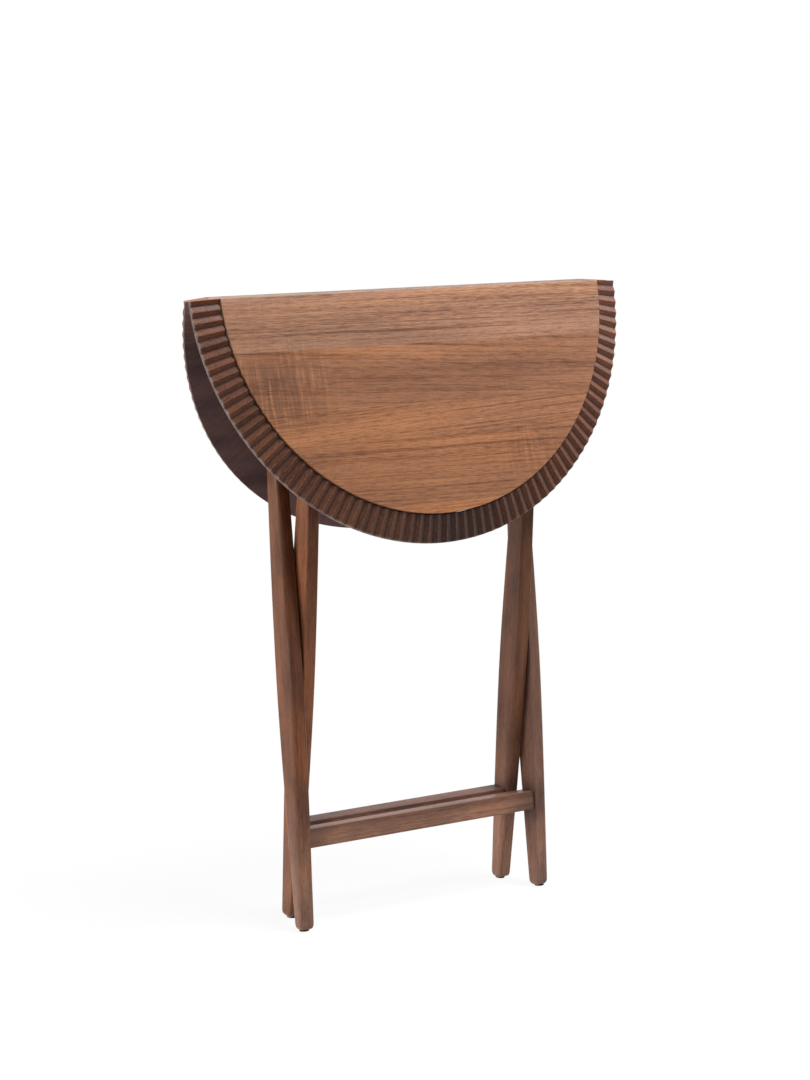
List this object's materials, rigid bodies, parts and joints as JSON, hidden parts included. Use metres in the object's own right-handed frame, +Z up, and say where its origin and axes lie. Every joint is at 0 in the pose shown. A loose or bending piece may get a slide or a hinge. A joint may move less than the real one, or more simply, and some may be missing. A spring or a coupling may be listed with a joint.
{
  "type": "round folding table",
  "caption": "Round walnut side table with a fluted bevelled border; its half-round leaves fold down like a tent over crossed leg frames that close as it folds.",
  "frame": {"origin": "on the floor, below the middle of the hinge line", "axes": "+X along the hinge line to the right, -Y towards the front leaf, +Z up"},
  "size_m": [0.6, 0.1614, 0.7492],
  "materials": {
    "panel_walnut": "satin oiled walnut, grain along the hinge line",
    "border_walnut": "satin oiled dark walnut, fluted",
    "leg_walnut": "satin oiled walnut, grain along the piece",
    "block_walnut": "matt oiled walnut",
    "hinge_brass": "satin",
    "bush_bronze": "turned",
    "pin_steel": "ground",
    "glide_rubber": "matt black"
  },
  "bodies": {
    "centre_pins": {"left_centre_pin": "pin_steel", "right_centre_pin": "pin_steel"},
    "outer_frame": {"outer_left_leg": "leg_walnut", "outer_right_leg": "leg_walnut", "outer_stretcher": "leg_walnut", "outer_left_glide": "glide_rubber", "outer_right_glide": "glide_rubber", "outer_left_top_bush": "bush_bronze", "outer_right_top_bush": "bush_bronze", "left_centre_bush": "bush_bronze", "right_centre_bush": "bush_bronze"},
    "back_leaf": {"back_leaf_panel": "panel_walnut", "back_leaf_border": "border_walnut", "back_left_block": "block_walnut", "back_right_block": "block_walnut", "back_left_leaf_pin": "pin_steel", "back_right_leaf_pin": "pin_steel", "back_left_hinge_plate": "hinge_brass", "back_middle_hinge_plate": "hinge_brass", "back_right_hinge_plate": "hinge_brass", "left_hinge_pin": "pin_steel", "middle_hinge_pin": "pin_steel", "right_hinge_pin": "pin_steel"},
    "front_leaf": {"front_leaf_panel": "panel_walnut", "front_leaf_border": "border_walnut", "front_left_block": "block_walnut", "front_right_block": "block_walnut", "front_left_leaf_pin": "pin_steel", "front_right_leaf_pin": "pin_steel", "front_left_hinge_plate": "hinge_brass", "front_middle_hinge_plate": "hinge_brass", "front_right_hinge_plate": "hinge_brass"},
    "inner_frame": {"inner_left_leg": "leg_walnut", "inner_right_leg": "leg_walnut", "inner_stretcher": "leg_walnut", "inner_left_glide": "glide_rubber", "inner_right_glide": "glide_rubber", "inner_left_top_bush": "bush_bronze", "inner_right_top_bush": "bush_bronze", "left_centre_pin_seat": "pin_steel", "right_centre_pin_seat": "pin_steel"}
  },
  "joints": [
    {"name": "outer_frame_swing", "type": "hinge", "parent": "centre_pins", "child": "outer_frame", "pos_m": [0, 0, 0.31022], "axis": [-1, 0, 0], "range_deg": [-1.51, 28.75]},
    {"name": "back_leaf_swing", "type": "hinge", "parent": "outer_frame", "child": "back_leaf", "pos_m": [0, 0.02632, 0.58967], "axis": [1, 0, 0], "range_deg": [-5.51, 104.99]},
    {"name": "leaf_fold", "type": "hinge", "parent": "back_leaf", "child": "front_leaf", "pos_m": [0, 0, 0.74538], "axis": [-1, 0, 0], "range_deg": [-8, 152.46]},
    {"name": "inner_frame_swing", "type": "hinge", "parent": "front_leaf", "child": "inner_frame", "pos_m": [0, -0.02632, 0.58967], "axis": [1, 0, 0], "range_deg": [-5.51, 104.99]}
  ],
  "couplings": [
    {"joint": "outer_frame_swing", "follows": "leaf_fold", "ratio": 0.1886},
    {"joint": "back_leaf_swing", "follows": "leaf_fold", "ratio": 0.6886},
    {"joint": "inner_frame_swing", "follows": "leaf_fold", "ratio": 0.6886}
  ]
}
